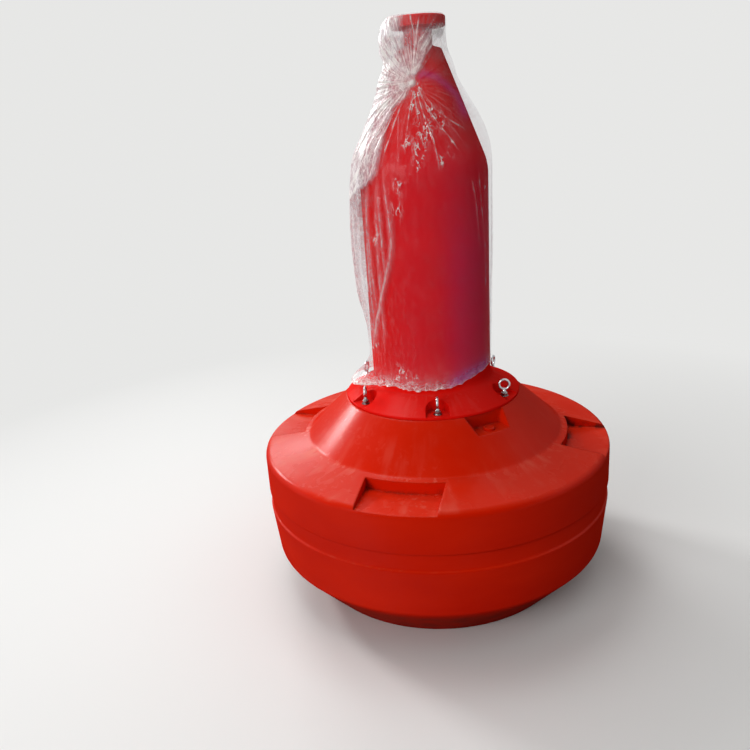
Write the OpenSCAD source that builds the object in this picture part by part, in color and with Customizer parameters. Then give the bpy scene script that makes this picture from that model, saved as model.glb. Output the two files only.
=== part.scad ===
// Navigation buoy: a moulded float, a moulded tower bolted on top of it by
// six eye bolts, a lamp seat, a mooring lug under the float and a film wrap.
// Millimetres, +Z up, origin on the floor at the middle of the flat bottom.

/* [Float] */
// Radius of the flat bottom
base_r = 448; // [400:1:500]
// Radius of the lower edge of the side
chine_r = 583; // [565:1:592]
// Height of the lower edge of the side
chine_z = 151; // [120:1:190]
// Largest radius of the float
float_r = 600; // [597:1:640]
// Height of the deck's outer edge
deck_z = 503; // [480:1:520]
// Rounding of the deck's outer edge
shoulder_round = 24; // [14:1:30]
// Height of the deck where the cone starts
cone_z = 536; // [530:1:550]
// Radius where the deck meets the cone
cone_r = 441; // [425:1:450]
// Height of the float's top, where the tower stands
float_top_z = 665; // [645:1:690]

/* [Recessed belt] */
// Height of the belt's lower edge
belt_z = 309; // [280:1:330]
// Height of the belt itself
belt_h = 60; // [30:1:90]
// Depth of the belt
belt_depth = 7; // [3:0.5:10]

/* [Deck notches] */
// Number of notches in the deck
notch_count = 4; // [2:1:4]
// Length of a notch between its ends
notch_w = 250; // [180:2:290]
// Radius of a notch's inner wall
notch_r = 461; // [452:1:480]
// Height of a notch's floor
notch_z = 494; // [488:1:500]

/* [Cone pockets] */
// Width of a pocket at its top
pocket_top_w = 147; // [120:1:170]
// Width of a pocket at its floor
pocket_floor_w = 119; // [90:1:119]
// Height of a pocket's floor
pocket_z = 617; // [605:1:630]
// Distance of a pocket's back wall from the axis
pocket_back = 288; // [280:1:293]
// Turn of the first pocket about the axis
pocket_turn = -45; // [-50:1:-40]
// Diameter of the filling plug's head
plug_d = 36; // [24:1:44]
// Height of the filling plug's head
plug_h = 9; // [5:1:14]

/* [Underside hold] */
// Width of the hold under the rear pocket
hold_w = 124; // [90:1:150]
// Distance of the hold's back wall from the axis
hold_back = 556; // [550:1:565]
// Height of the hold's ceiling
hold_top_z = 182; // [170:1:215]

/* [Tower] */
// Radius of the skirt's rim
skirt_r = 299; // [296:1:300]
// Thickness of the skirt's rim
skirt_t = 8; // [6:0.5:12]
// Radius at the foot of the column
column_r = 201; // [190:1:204]
// Height of the column's foot above the float
column_foot_h = 59; // [45:1:70]
// Radius at the top of the column
kink_r = 205; // [195:1:212]
// Height of the column's top
kink_z = 1418; // [1300:1:1500]
// Radius of the shelf at the top of the upper cone
shelf_r = 70; // [62:1:80]
// Height of the neck between the shelf and the lamp seat
neck_h = 60; // [50:1:90]
// Overall height of the buoy
top_z = 1851; // [1750:1:1950]

/* [Lamp seat] */
// Radius of the lamp seat
seat_r = 84; // [80:1:95]
// Thickness of the lamp seat
seat_t = 31; // [24:1:36]
// Radius of the neck under the lamp seat
neck_r = 43; // [34:1:50]
// Bolt circle diameter of the lamp seat
lamp_pcd = 130; // [120:1:136]
// Number of threaded inserts in the lamp seat
lamp_count = 4; // [3:1:6]
// Bore of a lamp insert
lamp_bore = 8.5; // [6:0.1:10.2]
// Outside diameter of a lamp insert
lamp_insert_d = 16; // [14:0.5:18]
// Length of a lamp insert
lamp_insert_len = 22; // [16:1:24]

/* [Eye bolts] */
// Bolt circle radius
bolt_circle_r = 266; // [260:1:269]
// Shank diameter
bolt_d = 12; // [10:1:14]
// Length of the shank in the float
bolt_bite = 60; // [40:1:75]
// Inside diameter of an eye
eye_d = 25; // [18:0.5:28]
// Thickness of an eye's wire
eye_wire = 8; // [6:0.5:9]
// Width of a nut across its flats
nut_af = 19; // [18:0.5:22]
// Height of a nut
nut_h = 10; // [8:0.5:13]
// Diameter of a washer
washer_d = 28; // [25:0.5:32]
// Thickness of a washer
washer_t = 2.5; // [1.5:0.1:4]
// Radius of the arched pocket round each eye bolt
arch_r = 38; // [34:1:40]

/* [Mooring] */
// Radius of the recess under the float
well_r = 115; // [105:1:130]
// Depth of the recess under the float
well_depth = 82; // [74:1:95]
// Radius of the mooring plate
plate_r = 88; // [84:1:92]
// Thickness of the mooring plate
plate_t = 8; // [6:0.5:10]
// Width of the mooring lug
lug_w = 64; // [54:1:72]
// Thickness of the mooring lug
lug_t = 16; // [12:1:20]
// Diameter of the lug's hole
lug_hole = 28; // [22:0.5:32]
// Distance of the lug's hole below the plate
lug_drop = 18; // [17:0.5:24]
// Diameter of the mooring plate's bolts
plate_bolt_d = 12; // [8:1:16]
// Length of the mooring plate's bolts in the float
plate_bolt_bite = 32; // [20:1:60]
// Height of the heads of the mooring plate's bolts
plate_bolt_head_h = 7.5; // [5:0.5:10]
// Radius of the mooring plate's bolt circle
plate_bolt_r = 62; // [56:1:66]

/* [Film wrap] */
// Thickness of the film's solid
film_t = 1.2; // [0.8:0.1:2]
// How far the film stands off the tower where it hangs free
film_slack = 34; // [10:1:38]

/* [Hidden] */
$fn = 96;

hull_colour = "orangered";
tower_colour = "red";
steel_colour = "silver";
film_colour = [0.9, 0.92, 0.95, 0.4];

// Clearance round a shank in its hole
shank_gap = 0.25;
// Clearance between the film and what it hangs on
film_gap = 1;
// Radius of the lip where the tower's skirt stands on the float
seat_lip = 2;
// Rounding of the moulded corners, in steps of arc
arc_steps = 6;
// Number of eye bolts, of cone pockets and of mooring plate bolts
bolt_count = 6;
pocket_count = 2;
plate_bolt_count = 4;
// Turn of the first eye bolt, notch, lamp insert and mooring plate bolt
bolt_turn = -75;
notch_turn = -90;
insert_turn = 45;
plate_bolt_turn = 45;
// Far enough to reach out of the float or the tower from inside
clear_out = 200;
// How much wider the mooring recess is at its mouth
well_draft = 3;
// Depth of the dish in a filling plug, and the rounding of its edge
plug_dish = 2;
plug_round = 2.5;
// Metal left under the bore of a lamp insert
insert_floor = 3;

float_cone_r = skirt_r + seat_lip;
floor_t = skirt_t;
arch_floor_z = float_top_z + floor_t;
column_foot_z = float_top_z + column_foot_h;
belt_top_z = belt_z + belt_h;
seat_z = top_z - seat_t;
shelf_z = seat_z - neck_h;
plate_z = well_depth - plate_t;
lug_hole_z = plate_z - lug_drop;
bolt_hole_d = bolt_d + 2 * shank_gap;
plate_bolt_hole_d = plate_bolt_d + 2 * shank_gap;

// Turn of each eye about its own shank, and how far its shank stands up
// above the nut
eye_turn = [-80, 12, 80, -80, -95, -80];
eye_lift = [6, 7, 6, 8, 12, 9];

// Centre angle of one copy out of a ring of copies
function ring_angle(first, count, i) = first + 360 * (i - 1) / count;
function unit(v) = v / norm(v);

// The corner at b between its neighbours a and c, rounded by radius r
function corner(a, b, c, r) =
    r == 0 ? [b] :
    let(
        u = unit(a - b),
        v = unit(c - b),
        half = acos(u * v) / 2,
        reach = r / tan(half),
        centre = b + unit(u + v) * r / sin(half),
        start = b + u * reach - centre,
        stop = b + v * reach - centre,
        from = atan2(start.y, start.x),
        turn = (atan2(stop.y, stop.x) - from + 540) % 360 - 180
    )
    [
        for (i = [0:arc_steps])
            let(angle = from + turn * i / arc_steps)
                centre + r * [cos(angle), sin(angle)]
    ];

// A closed outline from rows of radius, height and corner radius
function outline(rows) =
    let(n = len(rows), p = [for (row = rows) [row[0], row[1]]])
    [for (i = [0:n - 1]) each corner(p[(i + n - 1) % n], p[i], p[(i + 1) % n], rows[i][2])];

// Half outline of the float: radius, height, corner radius
float_rows = [
    [0, 0, 0],
    [base_r, 0, 14],
    [chine_r, chine_z, 26],
    [float_r - 1, belt_z, 2.5],
    [float_r - belt_depth, belt_z + 4, 2],
    [float_r - belt_depth, belt_top_z - 2.5, 2],
    [float_r, belt_top_z, 2.5],
    [float_r, deck_z, shoulder_round],
    [cone_r, cone_z, 26],
    [float_cone_r, float_top_z, 5],
    [0, float_top_z, 0]
];

// Half outline of the tower: radius, height, corner radius
tower_rows = [
    [0, float_top_z, 0],
    [skirt_r, float_top_z, 1.5],
    [skirt_r, float_top_z + skirt_t, 3],
    [column_r, column_foot_z, 26],
    [kink_r, kink_z, 170],
    [shelf_r, shelf_z, 9],
    [neck_r, shelf_z + 9, 7],
    [neck_r, seat_z, 7],
    [seat_r, seat_z, 5],
    [seat_r, top_z, 6],
    [0, top_z, 0]
];

// Radius of the float's cone at a height
function float_cone_at(z) = cone_r + (float_cone_r - cone_r) * (z - cone_z) / (float_top_z - cone_z);

// Places its children at a radius and an angle round the axis
module around(r, angle) {
    rotate([0, 0, angle])
        translate([r, 0, 0])
            children();
}

// One notch in the deck: flat floor, parallel ends, inner wall round the axis
module deck_notch() {
    intersection() {
        translate([0, -notch_w / 2, notch_z])
            cube([float_r + clear_out, notch_w, cone_z]);
        difference() {
            translate([0, 0, notch_z - 1])
                cylinder(r = float_r + clear_out, h = cone_z);
            translate([0, 0, notch_z - 2])
                cylinder(r = notch_r, h = cone_z + 2);
        }
    }
}

// One pocket in the cone: upright back wall, level floor, ends that spread upwards
module cone_pocket() {
    rise = float_top_z - pocket_z + 1;
    spread = (pocket_top_w - pocket_floor_w) / 2 * rise / (rise - 1);
    translate([pocket_back, 0, pocket_z])
        rotate([90, 0, 90])
            linear_extrude(clear_out)
                polygon([
                    [-pocket_floor_w / 2, 0],
                    [pocket_floor_w / 2, 0],
                    [pocket_floor_w / 2 + spread, rise],
                    [-pocket_floor_w / 2 - spread, rise]
                ]);
}

// The hold cut up into the lower edge of the side, under the rear pocket
module underside_hold() {
    translate([hold_back, -hold_w / 2, -1])
        cube([clear_out, hold_w, hold_top_z + 1]);
}

module float_hull() {
    color(hull_colour)
        difference() {
            rotate_extrude()
                polygon(outline(float_rows));
            for (i = [1:notch_count])
                rotate([0, 0, ring_angle(notch_turn, notch_count, i)])
                    deck_notch();
            for (i = [1:pocket_count])
                rotate([0, 0, ring_angle(pocket_turn, pocket_count, i)])
                    cone_pocket();
            rotate([0, 0, pocket_turn + 180])
                underside_hold();
            translate([0, 0, -1])
                cylinder(r1 = well_r + well_draft, r2 = well_r, h = well_depth + 1);
            for (i = [1:bolt_count])
                around(bolt_circle_r, ring_angle(bolt_turn, bolt_count, i))
                    translate([0, 0, float_top_z - bolt_bite - 1])
                        cylinder(d = bolt_hole_d, h = bolt_bite + 2);
            at_plate_bolts()
                translate([0, 0, well_depth - 1])
                    cylinder(d = plate_bolt_hole_d, h = plate_bolt_bite + 2);
        }
}

// Places its children at each bolt of the mooring plate
module at_plate_bolts() {
    for (i = [1:plate_bolt_count])
        around(plate_bolt_r, ring_angle(plate_bolt_turn, plate_bolt_count, i))
            children();
}

// The arched pocket round one eye bolt, open through the skirt's slope
module arch_pocket() {
    translate([0, 0, arch_floor_z]) {
        cylinder(r = arch_r, h = column_foot_h);
        translate([0, -arch_r, 0])
            cube([clear_out, 2 * arch_r, column_foot_h]);
    }
}

module tower() {
    color(tower_colour)
        difference() {
            rotate_extrude()
                polygon(outline(tower_rows));
            for (i = [1:bolt_count])
                around(bolt_circle_r, ring_angle(bolt_turn, bolt_count, i)) {
                    arch_pocket();
                    translate([0, 0, float_top_z - 1])
                        cylinder(d = bolt_hole_d, h = floor_t + 2);
                }
            at_lamp_inserts()
                cylinder(d = lamp_insert_d, h = lamp_insert_len + 1);
        }
}

// Places its children at the foot of each insert in the lamp seat
module at_lamp_inserts() {
    for (i = [1:lamp_count])
        around(lamp_pcd / 2, ring_angle(insert_turn, lamp_count, i))
            translate([0, 0, top_z - lamp_insert_len])
                children();
}

// Screwed plug over the hole through which the float is filled with foam
module filling_plug(i) {
    color(hull_colour)
        around((pocket_back + float_cone_at(pocket_z)) / 2, ring_angle(pocket_turn, pocket_count, i))
            translate([0, 0, pocket_z])
                rotate_extrude()
                    polygon(outline([
                        [0, 0, 0],
                        [plug_d / 2, 0, 0],
                        [plug_d / 2, plug_h, plug_round],
                        [plug_d / 3, plug_h, 0],
                        [plug_d / 3 - plug_dish / 2, plug_h - plug_dish, 0],
                        [0, plug_h - plug_dish, 0]
                    ]));
}

// Screw eye: a ring of round wire on a straight shank
module eye_bolt(i) {
    ring_r = (eye_d + eye_wire) / 2;
    nut_top_z = arch_floor_z + washer_t + nut_h;
    ring_z = nut_top_z + eye_lift[i - 1] + eye_wire / 2 + ring_r;
    color(steel_colour)
        around(bolt_circle_r, ring_angle(bolt_turn, bolt_count, i)) {
            translate([0, 0, float_top_z - bolt_bite])
                cylinder(d = bolt_d, h = ring_z - ring_r - float_top_z + bolt_bite);
            translate([0, 0, ring_z])
                rotate([90, 0, eye_turn[i - 1] - ring_angle(bolt_turn, bolt_count, i)])
                    rotate_extrude()
                        translate([ring_r, 0])
                            circle(d = eye_wire);
        }
}

module eye_nut(i) {
    color(steel_colour)
        around(bolt_circle_r, ring_angle(bolt_turn, bolt_count, i))
            translate([0, 0, arch_floor_z + washer_t])
                difference() {
                    intersection() {
                        cylinder(d = nut_af / cos(30), h = nut_h, $fn = 6);
                        cylinder(d1 = nut_af + 1.5 * nut_h, d2 = nut_af, h = nut_h);
                    }
                    translate([0, 0, -1])
                        cylinder(d = bolt_hole_d, h = nut_h + 2);
                }
}

module eye_washer(i) {
    color(steel_colour)
        around(bolt_circle_r, ring_angle(bolt_turn, bolt_count, i))
            translate([0, 0, arch_floor_z])
                difference() {
                    cylinder(d = washer_d, h = washer_t);
                    translate([0, 0, -1])
                        cylinder(d = bolt_hole_d, h = washer_t + 2);
                }
}

// Threaded inserts moulded into the lamp seat
module lamp_inserts() {
    color(steel_colour)
        at_lamp_inserts()
            difference() {
                cylinder(d = lamp_insert_d, h = lamp_insert_len);
                translate([0, 0, insert_floor])
                    cylinder(d = lamp_bore, h = lamp_insert_len);
            }
}

// Round plate bolted into the roof of the recess
module mooring_plate() {
    color(steel_colour)
        difference() {
            translate([0, 0, plate_z])
                cylinder(r = plate_r, h = plate_t);
            at_plate_bolts()
                translate([0, 0, plate_z - 1])
                    cylinder(d = plate_bolt_hole_d, h = plate_t + 2);
        }
}

// Lug welded under the plate, which takes the pin of a shackle
module mooring_lug() {
    color(steel_colour)
        difference() {
            translate([-lug_t / 2, 0, lug_hole_z])
                rotate([90, 0, 90])
                    linear_extrude(lug_t)
                        lug_outline();
            translate([-lug_t, 0, lug_hole_z])
                rotate([0, 90, 0])
                    cylinder(d = lug_hole, h = 2 * lug_t);
        }
}

// Side view of the lug: a round end below, straight sides up to the plate
module lug_outline() {
    difference() {
        union() {
            circle(d = lug_w);
            translate([-lug_w / 2, 0])
                square([lug_w, lug_drop]);
        }
        translate([-lug_w, lug_drop])
            square(2 * lug_w);
    }
}

// The four bolts that hold the mooring plate
module mooring_bolts() {
    color(steel_colour)
        at_plate_bolts()
            translate([0, 0, plate_z]) {
                cylinder(d = plate_bolt_d, h = plate_t + plate_bolt_bite);
                mirror([0, 0, 1])
                    cylinder(d = nut_af / cos(30), h = plate_bolt_head_h, $fn = 6);
            }
}

// Height and radius on the skirt's slope at a drop below the column's foot, and
// on the column and the upper cone at a share of their height
function on_skirt(drop) =
    [column_foot_z - drop, column_r + drop * (skirt_r - column_r) / (column_foot_h - skirt_t)];
function on_column(share) =
    [column_foot_z + share * (kink_z - column_foot_z), column_r + share * (kink_r - column_r)];
function on_cone(share) =
    [kink_z + share * (shelf_z - kink_z), kink_r + share * (shelf_r - kink_r)];

// Rows of the film: height and radius of what it hangs on, how far it stands off
// that all round, slack on its two loose sides as shares of film_slack
film_rows = [
    [on_skirt(7), 4, 0.55, 0],
    [on_column(0.035), 1, 0.15, 0],
    [on_column(0.18), 1, 0.6, 0.1],
    [on_column(0.4), 1, 0.9, 0.15],
    [on_column(0.82), 1, 0.9, 0.2],
    [on_column(1), 1, 0.75, 0.35],
    [on_cone(0.16), 1, 1, 0.85],
    [on_cone(0.3), 1, 0.8, 1],
    [on_cone(0.45), 1, 0.55, 0.9],
    [on_cone(0.6), 1, 0.45, 0.6],
    [on_cone(0.75), 1, 0.6, 0.3],
    [on_cone(0.9), 1, 0.6, 0.5],
    [[shelf_z + neck_h / 10, seat_r - 8], 1, 1, 0.3],
    [[seat_z - neck_h / 3, seat_r - 8], 1, 1, 0.2],
    [[seat_z + 4, seat_r], 1, 0.5, 0.1],
    [[top_z - 6, seat_r], 1, 0.4, 0.05],
    [[top_z, seat_r], 1, 0.25, 0]
];
film_sides = 40;
slack_turn = 192;

// Radius of the film in one row, at an angle, with extra for its outer wall
function film_r(row, angle, extra) =
    row[0][1] + row[1] * film_gap + extra
    + film_slack * row[2] * pow(max(0, cos(angle - slack_turn)), 2)
    + film_slack * row[3] * pow(max(0, -cos(angle - slack_turn)), 2);

// Open bag of film that hangs from the lamp seat over the tower
module wrap_film() {
    n = len(film_rows);
    corners = [
        for (wall = [film_t, 0])
            for (row = film_rows)
                for (k = [0:film_sides - 1])
                    let(a = 360 * k / film_sides, r = film_r(row, a, wall))
                        [r * cos(a), r * sin(a), row[0][0]]
    ];
    function at(wall, i, k) = (wall * n + i) * film_sides + k % film_sides;
    faces = [
        for (k = [0:film_sides - 1]) each concat(
            [for (i = [0:n - 2]) [at(0, i, k), at(0, i + 1, k), at(0, i + 1, k + 1), at(0, i, k + 1)]],
            [for (i = [0:n - 2]) [at(1, i, k), at(1, i, k + 1), at(1, i + 1, k + 1), at(1, i + 1, k)]],
            [[at(0, 0, k), at(0, 0, k + 1), at(1, 0, k + 1), at(1, 0, k)]],
            [[at(0, n - 1, k), at(1, n - 1, k), at(1, n - 1, k + 1), at(0, n - 1, k + 1)]]
        )
    ];
    color(film_colour)
        polyhedron(corners, faces);
}

float_hull();
tower();
filling_plug(1);  // filling_plug_1
filling_plug(2);  // filling_plug_2
eye_bolt(1);  // eye_bolt_1
eye_bolt(2);  // eye_bolt_2
eye_bolt(3);  // eye_bolt_3
eye_bolt(4);  // eye_bolt_4
eye_bolt(5);  // eye_bolt_5
eye_bolt(6);  // eye_bolt_6
eye_nut(1);  // eye_nut_1
eye_nut(2);  // eye_nut_2
eye_nut(3);  // eye_nut_3
eye_nut(4);  // eye_nut_4
eye_nut(5);  // eye_nut_5
eye_nut(6);  // eye_nut_6
eye_washer(1);  // eye_washer_1
eye_washer(2);  // eye_washer_2
eye_washer(3);  // eye_washer_3
eye_washer(4);  // eye_washer_4
eye_washer(5);  // eye_washer_5
eye_washer(6);  // eye_washer_6
lamp_inserts();
mooring_plate();
mooring_lug();
mooring_bolts();
wrap_film();
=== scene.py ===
import math
import random

import bpy
import numpy as np
from mathutils import Matrix, Vector, noise


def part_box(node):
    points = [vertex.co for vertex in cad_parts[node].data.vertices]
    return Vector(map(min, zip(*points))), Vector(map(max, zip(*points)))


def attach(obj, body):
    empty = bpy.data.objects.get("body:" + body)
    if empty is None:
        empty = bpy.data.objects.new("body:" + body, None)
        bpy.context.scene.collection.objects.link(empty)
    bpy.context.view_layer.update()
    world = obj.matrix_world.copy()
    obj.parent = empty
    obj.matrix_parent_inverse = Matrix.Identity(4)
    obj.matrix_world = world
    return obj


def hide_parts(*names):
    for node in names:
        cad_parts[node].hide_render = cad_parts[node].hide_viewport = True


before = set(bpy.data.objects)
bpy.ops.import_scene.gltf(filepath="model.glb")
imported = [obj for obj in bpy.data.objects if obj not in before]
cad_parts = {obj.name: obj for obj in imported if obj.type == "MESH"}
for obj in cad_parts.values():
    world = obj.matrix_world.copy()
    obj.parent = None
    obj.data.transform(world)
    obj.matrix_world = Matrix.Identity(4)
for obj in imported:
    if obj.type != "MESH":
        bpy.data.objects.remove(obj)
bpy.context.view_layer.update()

# Studio
# A pale floor that runs out into a pale background, with the camera where the
# photograph was taken from: 2.5 m from the buoy's axis, held a little askew.
PALE = (0.80, 0.80, 0.79)
THROWN_BACK = (0.23, 0.23, 0.22)
EYE_PLACE = (0.5245, -2.4264, 1.5645)
EYE_TURN = (71.293, 3.669, 15.530)
EYE_LENS = 36.05
FLOOR_R = 40.0

bpy.ops.object.select_all(action="DESELECT")
bpy.ops.object.camera_add(location=EYE_PLACE, rotation=[math.radians(a) for a in EYE_TURN])
camera = bpy.context.object
camera.data.sensor_width = 36.0
camera.data.lens = EYE_LENS
bpy.context.scene.camera = camera


def feed(socket, value):
    """Links a socket into an input, or sets the input to a plain value."""
    if isinstance(value, bpy.types.NodeSocket):
        socket.id_data.links.new(value, socket)
    else:
        socket.default_value = value


def wire(node, **values):
    """Sets or links values by name on a node or its inputs."""
    for key, value in values.items():
        if hasattr(node, key):
            setattr(node, key, value)
        else:
            feed(node.inputs[key.replace("_", " ")], value)
    return node


def add_node(tree, kind, **values):
    """One new node, with its values set or linked by name."""
    return wire(tree.nodes.new(kind), **values)


def new_material(name):
    """A node material with one Principled shader, and the object coordinates in it."""
    mat = bpy.data.materials.new(name)
    mat.use_nodes = True
    coords = add_node(mat.node_tree, "ShaderNodeTexCoord").outputs["Object"]
    return mat, mat.node_tree.nodes["Principled BSDF"], coords


def ramp(source, stops):
    """A colour ramp fed by a socket; stops are (place, grey or colour)."""
    node = add_node(source.id_data, "ShaderNodeValToRGB", Fac=source)
    while len(node.color_ramp.elements) < len(stops):
        node.color_ramp.elements.new(0.5)
    for element, (place, tone) in zip(node.color_ramp.elements, stops):
        element.position = place
        element.color = (tone, tone, tone, 1) if isinstance(tone, (int, float)) else (*tone, 1)
    return node.outputs["Color"]


def mixed(share, first, second):
    """A colour between two, each a socket or a plain colour, by a share that is a socket."""
    node = add_node(share.id_data, "ShaderNodeMix", data_type="RGBA")
    for index, value in ((0, share), (6, first), (7, second)):
        feed(node.inputs[index], (*value, 1) if isinstance(value, tuple) else value)
    return node.outputs[2]


def calc(kind, *values):
    """One Math node; the first value is a socket, and others may be numbers."""
    node = add_node(values[0].id_data, "ShaderNodeMath", operation=kind)
    for socket, value in zip(node.inputs, values):
        feed(socket, value)
    return node.outputs[0]


def times(first, *others):
    """The product of a socket and more sockets or numbers."""
    for value in others:
        first = calc("MULTIPLY", first, value)
    return first


def vector_calc(kind, *values):
    """One Vector Math node; the first value is a socket, and others may be triples."""
    node = add_node(values[0].id_data, "ShaderNodeVectorMath", operation=kind)
    for socket, value in zip(node.inputs, values):
        feed(socket, value)
    return node.outputs["Value" if kind == "LENGTH" else "Vector"]


def parts_of(vector):
    """The X, Y and Z of a vector."""
    return add_node(vector.id_data, "ShaderNodeSeparateXYZ", Vector=vector).outputs


def layered(share, under, over):
    """One shader mixed over another by a share that is a socket."""
    node = add_node(share.id_data, "ShaderNodeMixShader")
    for socket, value in zip(node.inputs, (share, under, over)):
        feed(socket, value)
    return node.outputs[0]


def seen_by_eye(tree):
    """1 where the camera sees a surface, straight or in gloss or through glass."""
    path = add_node(tree, "ShaderNodeLightPath").outputs
    mirrored = calc("MAXIMUM", path["Is Glossy Ray"], path["Is Transmission Ray"])
    return calc("MAXIMUM", path["Is Camera Ray"], mirrored)


def floor_material():
    """Pale floor that fades into the background far out, and throws little light back up."""
    mat, shader, coords = new_material("studio_floor")
    seen = seen_by_eye(mat.node_tree)
    wire(shader, Base_Color=mixed(seen, THROWN_BACK, PALE), Roughness=0.6)
    far = times(vector_calc("LENGTH", coords), 1 / FLOOR_R)
    fade = times(ramp(far, [(0.026, 0.0), (0.075, 1.0)]), seen)
    glow = add_node(mat.node_tree, "ShaderNodeEmission", Color=(*PALE, 1))
    surface = layered(fade, shader.outputs[0], glow.outputs[0])
    wire(mat.node_tree.nodes["Material Output"], Surface=surface)
    return mat


bpy.ops.mesh.primitive_circle_add(vertices=96, radius=FLOOR_R, fill_type="NGON")
floor = bpy.context.object
floor.name = "studio_floor"
floor.data.materials.append(floor_material())


def softbox(name, place, aim, width, height, watts):
    """A rectangular lamp at a place, turned to face the aim."""
    turn = (Vector(aim) - Vector(place)).to_track_quat("-Z", "Y").to_euler()
    bpy.ops.object.light_add(type="AREA", location=place, rotation=turn)
    lamp = bpy.context.object
    lamp.name = name
    lamp.data.shape = "RECTANGLE"
    lamp.data.size = width
    lamp.data.size_y = height
    lamp.data.energy = watts


# Soft lamps: place, aim, width, height, watts
softbox("left_light", (-9.0, 4.2, 5.3), (0, 0, 0.7), 1.9, 1.15, 420)
softbox("rear_light", (-5.7, 7.1, 4.6), (-0.4, 0, 0.5), 3.4, 1.7, 190)
softbox("overhead_light", (-1.6, 0.9, 6.0), (0, 0, 0.6), 3.0, 3.0, 110)
softbox("front_light", (-3.9, -8.1, 3.45), (0, 0, 0.9), 6.0, 5.0, 450)
softbox("side_light", (5.0, -1.0, 4.0), (0, 0, 0.9), 2.4, 2.4, 8)

# A pale world that lights weakly from below and more from overhead
world = bpy.data.worlds.new("studio_world")
bpy.context.scene.world = world
world.use_nodes = True
sky = world.node_tree
sky_height = parts_of(add_node(sky, "ShaderNodeTexCoord").outputs["Generated"])["Z"]
sky_strength = ramp(sky_height, [(0.0, 0.06), (1.0, 0.52)])
sky_light = wire(sky.nodes["Background"], Color=(*PALE, 1), Strength=sky_strength)
sky_seen = add_node(sky, "ShaderNodeBackground", Color=(*PALE, 1), Strength=1.0)
backdrop = layered(seen_by_eye(sky), sky_light.outputs[0], sky_seen.outputs[0])
wire(sky.nodes["World Output"], Surface=backdrop)
bpy.context.scene.view_settings.view_transform = "Standard"

# Float
# The hull is one hollow moulding of orange-red polyethylene: a flat bottom, a
# bevelled lower edge, a side with a shallow belt, a deck ring and a cone. It
# is turned round its axis in the mould, and the notches are cut into it here.
FLOAT_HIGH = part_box("float_hull")[1]
FLOAT_R = FLOAT_HIGH.x
FLOAT_TOP = FLOAT_HIGH.z
SKIRT_R = 0.299
WELL_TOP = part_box("mooring_plate")[1].z
WELL_R = 0.115
FLOAT_TURNS = 192
EDGE_ROUND = 0.0045
NOTCH_W = 0.250
NOTCH_R = 0.461
NOTCH_Z = 0.494
POCKET_TOP_W = 0.147
POCKET_FLOOR_W = 0.119
POCKET_Z = 0.617
POCKET_BACK = 0.288
POCKET_TURN = math.radians(-45)
HOLD_W = 0.124
HOLD_BACK = 0.556
HOLD_TOP = 0.182

# Half outline of the float: radius, height, corner radius
FLOAT_ROWS = [
    (0.0, WELL_TOP, 0.0),
    (WELL_R, WELL_TOP, 0.006),
    (WELL_R + 0.003, 0.0, 0.006),
    (0.448, 0.0, 0.014),
    (0.583, 0.151, 0.026),
    (FLOAT_R - 0.001, 0.309, 0.0025),
    (FLOAT_R - 0.007, 0.313, 0.002),
    (FLOAT_R - 0.007, 0.3665, 0.002),
    (FLOAT_R, 0.369, 0.0025),
    (FLOAT_R, 0.503, 0.024),
    (0.441, 0.536, 0.026),
    (SKIRT_R + 0.002, FLOAT_TOP, 0.005),
    (0.0, FLOAT_TOP, 0.0),
]


def rounded(rows, steps=6):
    """The points of a half outline whose corners are rounded by arcs."""
    points = []
    for i, (r, z, radius) in enumerate(rows):
        corner = Vector((r, z))
        if radius == 0:
            points.append(corner)
            continue
        to_last = (Vector(rows[i - 1][:2]) - corner).normalized()
        to_next = (Vector(rows[(i + 1) % len(rows)][:2]) - corner).normalized()
        half = to_last.angle(to_next) / 2
        centre = corner + (to_last + to_next).normalized() * radius / math.sin(half)
        start = corner + to_last * radius / math.tan(half) - centre
        stop = corner + to_next * radius / math.tan(half) - centre
        for k in range(steps + 1):
            points.append(centre + radius * start.slerp(stop, k / steps))
    return points


def turned(name, points, turns):
    """Draws a half outline point by point and spins it round the Z axis."""
    bpy.ops.object.select_all(action="DESELECT")
    bpy.ops.mesh.primitive_plane_add(size=0.01)
    piece = bpy.context.object
    piece.name = name
    bpy.ops.object.mode_set(mode="EDIT")
    bpy.ops.mesh.select_all(action="SELECT")
    bpy.ops.mesh.merge(type="CENTER")
    bpy.ops.transform.translate(value=(points[0].x, 0, points[0].y))
    for last, here in zip(points, points[1:]):
        step = here - last
        bpy.ops.mesh.extrude_region_move(TRANSFORM_OT_translate={"value": (step.x, 0, step.y)})
    bpy.ops.mesh.select_all(action="SELECT")
    bpy.ops.mesh.spin(steps=turns, angle=2 * math.pi, center=(0, 0, 0), axis=(0, 0, 1))
    bpy.ops.mesh.select_all(action="SELECT")
    bpy.ops.mesh.remove_doubles(threshold=0.00002)
    bpy.ops.mesh.dissolve_degenerate(threshold=0.00001)
    bpy.ops.mesh.select_all(action="SELECT")
    bpy.ops.mesh.normals_make_consistent(inside=False)
    bpy.ops.object.mode_set(mode="OBJECT")
    return piece


def block(low, high):
    """A cutter block between two corners."""
    low, high = Vector(low), Vector(high)
    bpy.ops.mesh.primitive_cube_add(size=1, location=(low + high) / 2, scale=high - low)
    return bpy.context.object


def post(radius, low, high, place=(0, 0), sides=192):
    """An upright round cutter between two heights."""
    middle = (place[0], place[1], (low + high) / 2)
    bpy.ops.mesh.primitive_cylinder_add(vertices=sides, radius=radius, depth=high - low, location=middle)
    return bpy.context.object


def take(piece):
    """Makes a piece the active one and the only one selected."""
    bpy.ops.object.select_all(action="DESELECT")
    bpy.context.view_layer.objects.active = piece
    piece.select_set(True)


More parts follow.
